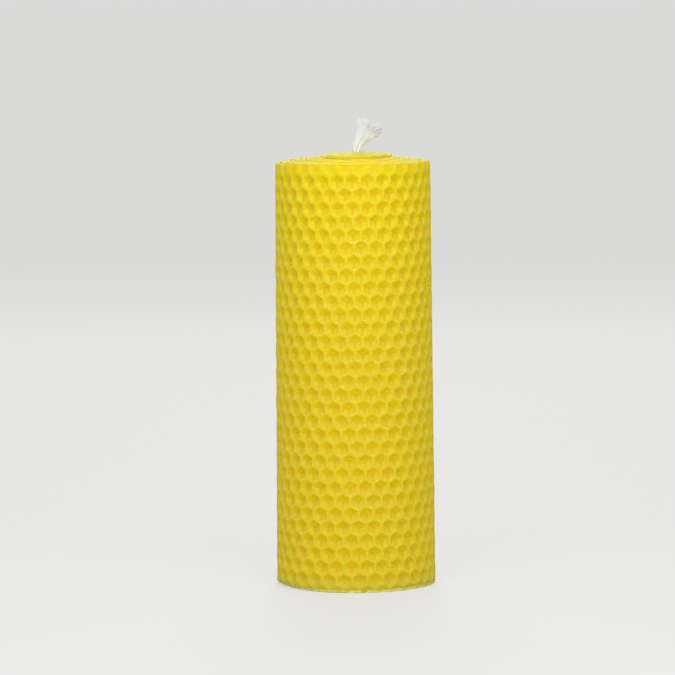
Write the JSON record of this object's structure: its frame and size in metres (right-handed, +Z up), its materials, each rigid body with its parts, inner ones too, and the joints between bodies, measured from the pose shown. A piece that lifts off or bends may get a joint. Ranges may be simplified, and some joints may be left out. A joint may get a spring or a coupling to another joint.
{
  "type": "rolled beeswax candle",
  "caption": "Upright pillar candle rolled from embossed honeycomb wax sheets round a cotton wick, with a stepped top, a flat foot and a frayed wick end.",
  "frame": {"origin": "on the floor, under the middle of the foot's outline", "axes": "+Z up along the candle, -Y towards the front that the picture shows, +X to the viewer's right; the outer sheet's seam faces +Y"},
  "size_m": [0.0559, 0.0568, 0.1636],
  "materials": {
    "beeswax": "embossed beeswax, satin, slightly translucent",
    "cotton": "braided cotton, unburnt, frayed at its end"
  },
  "bodies": {
    "root": {"wick": "cotton", "core_sheet": "beeswax", "second_sheet": "beeswax", "third_sheet": "beeswax", "outer_sheet": "beeswax"}
  },
  "joints": []
}
